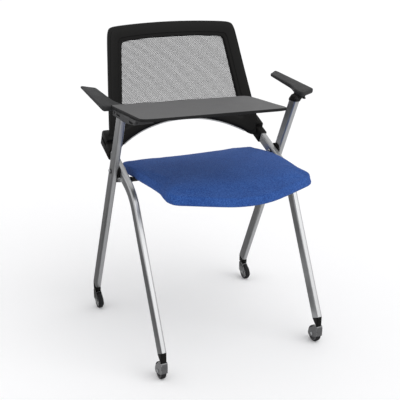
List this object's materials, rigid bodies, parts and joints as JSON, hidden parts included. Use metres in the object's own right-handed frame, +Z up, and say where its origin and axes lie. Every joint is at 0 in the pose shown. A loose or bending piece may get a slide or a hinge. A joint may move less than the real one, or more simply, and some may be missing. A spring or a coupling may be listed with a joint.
{
  "type": "nesting chair with writing tablet",
  "caption": "Nesting chair with a flip-up blue seat, mesh back, arm pads, a fold-away writing tablet and swivel casters.",
  "frame": {"origin": "middle of the footprint, on the floor", "axes": "+X towards the sitter's left, -Y the way the sitter looks, +Z up"},
  "size_m": [0.593, 0.5364, 0.8305],
  "materials": {
    "satin_tube": "satin silver paint on steel tube",
    "plated_steel": "zinc plated",
    "fork_metal": "polished",
    "tyre_rubber": "matt",
    "wheel_plastic": "matt",
    "bumper_rubber": "matt",
    "pad_plastic": "fine grain",
    "board_plastic": "fine grain",
    "beam_plastic": "fine grain",
    "seat_cloth": "woven cloth",
    "back_net": "open net",
    "black_steel": "matt black paint",
    "black_plastic": "fine grain"
  },
  "bodies": {
    "frame": {"arm_leg_right": "satin_tube", "arm_leg_left": "satin_tube", "seat_leg_right": "satin_tube", "seat_leg_left": "satin_tube", "leg_spacer_right": "black_plastic", "leg_spacer_left": "black_plastic", "leg_brace_right": "satin_tube", "leg_brace_left": "satin_tube", "leg_bolts": "plated_steel", "pivot_bar": "black_steel", "pivot_collar_right": "black_plastic", "pivot_collar_left": "black_plastic", "seat_rest_right": "satin_tube", "seat_rest_left": "satin_tube", "back_frame": "black_plastic", "back_mesh": "back_net", "back_screws": "plated_steel", "arm_bracket_left": "black_plastic", "tablet_bracket": "black_plastic", "arm_pad_right": "pad_plastic", "arm_pad_left": "pad_plastic", "arm_screws": "plated_steel", "seat_bumpers": "bumper_rubber", "caster_plug_front_right": "black_plastic", "caster_plug_front_left": "black_plastic", "caster_plug_rear_right": "black_plastic", "caster_plug_rear_left": "black_plastic"},
    "seat": {"seat_cushion": "seat_cloth", "seat_pan": "black_plastic", "seat_hinge_right": "black_plastic", "seat_hinge_left": "black_plastic", "seat_screws": "plated_steel"},
    "tablet_arm": {"hinge_beam": "beam_plastic", "beam_pin": "plated_steel", "board_pin": "plated_steel"},
    "tablet": {"tablet_board": "board_plastic", "hinge_leaf": "plated_steel", "board_screws": "plated_steel"},
    "swivel_front_right": {"caster_stem_front_right": "plated_steel", "caster_fork_front_right": "fork_metal", "caster_axle_front_right": "plated_steel"},
    "wheel_front_right": {"caster_wheel_front_right": "wheel_plastic", "caster_tyre_front_right": "tyre_rubber"},
    "swivel_front_left": {"caster_stem_front_left": "plated_steel", "caster_fork_front_left": "fork_metal", "caster_axle_front_left": "plated_steel"},
    "wheel_front_left": {"caster_wheel_front_left": "wheel_plastic", "caster_tyre_front_left": "tyre_rubber"},
    "swivel_rear_right": {"caster_stem_rear_right": "plated_steel", "caster_fork_rear_right": "fork_metal", "caster_axle_rear_right": "plated_steel"},
    "wheel_rear_right": {"caster_wheel_rear_right": "wheel_plastic", "caster_tyre_rear_right": "tyre_rubber"},
    "swivel_rear_left": {"caster_stem_rear_left": "plated_steel", "caster_fork_rear_left": "fork_metal", "caster_axle_rear_left": "plated_steel"},
    "wheel_rear_left": {"caster_wheel_rear_left": "wheel_plastic", "caster_tyre_rear_left": "tyre_rubber"}
  },
  "joints": [
    {"name": "seat_flip", "type": "hinge", "parent": "frame", "child": "seat", "pos_m": [0, 0.0183, 0.45994], "axis": [-1, 0, 0], "range_deg": [0, 40]},
    {"name": "tablet_drop", "type": "hinge", "parent": "frame", "child": "tablet_arm", "pos_m": [-0.2475, -0.05125, 0.6555], "axis": [1, 0, 0], "range_deg": [0, 40]},
    {"name": "tablet_flip", "type": "hinge", "parent": "tablet_arm", "child": "tablet", "pos_m": [-0.27, -0.11625, 0.6585], "axis": [0, -1, 0], "range_deg": [0, 90]},
    {"name": "swivel_front_right_turn", "type": "hinge", "parent": "frame", "child": "swivel_front_right", "pos_m": [-0.228, -0.21935, 0.04], "axis": [0, 0, 1], "continuous": true},
    {"name": "wheel_front_right_roll", "type": "hinge", "parent": "swivel_front_right", "child": "wheel_front_right", "pos_m": [-0.228, -0.20335, 0.0225], "axis": [1, 0, 0], "continuous": true},
    {"name": "swivel_front_left_turn", "type": "hinge", "parent": "frame", "child": "swivel_front_left", "pos_m": [0.228, -0.21935, 0.04], "axis": [0, 0, 1], "continuous": true},
    {"name": "wheel_front_left_roll", "type": "hinge", "parent": "swivel_front_left", "child": "wheel_front_left", "pos_m": [0.228, -0.20335, 0.0225], "axis": [1, 0, 0], "continuous": true},
    {"name": "swivel_rear_right_turn", "type": "hinge", "parent": "frame", "child": "swivel_rear_right", "pos_m": [-0.2475, 0.25655, 0.04], "axis": [0, 0, 1], "continuous": true},
    {"name": "wheel_rear_right_roll", "type": "hinge", "parent": "swivel_rear_right", "child": "wheel_rear_right", "pos_m": [-0.2475, 0.24055, 0.0225], "axis": [1, 0, 0], "continuous": true},
    {"name": "swivel_rear_left_turn", "type": "hinge", "parent": "frame", "child": "swivel_rear_left", "pos_m": [0.2475, 0.25655, 0.04], "axis": [0, 0, 1], "continuous": true},
    {"name": "wheel_rear_left_roll", "type": "hinge", "parent": "swivel_rear_left", "child": "wheel_rear_left", "pos_m": [0.2475, 0.24055, 0.0225], "axis": [1, 0, 0], "continuous": true}
  ]
}
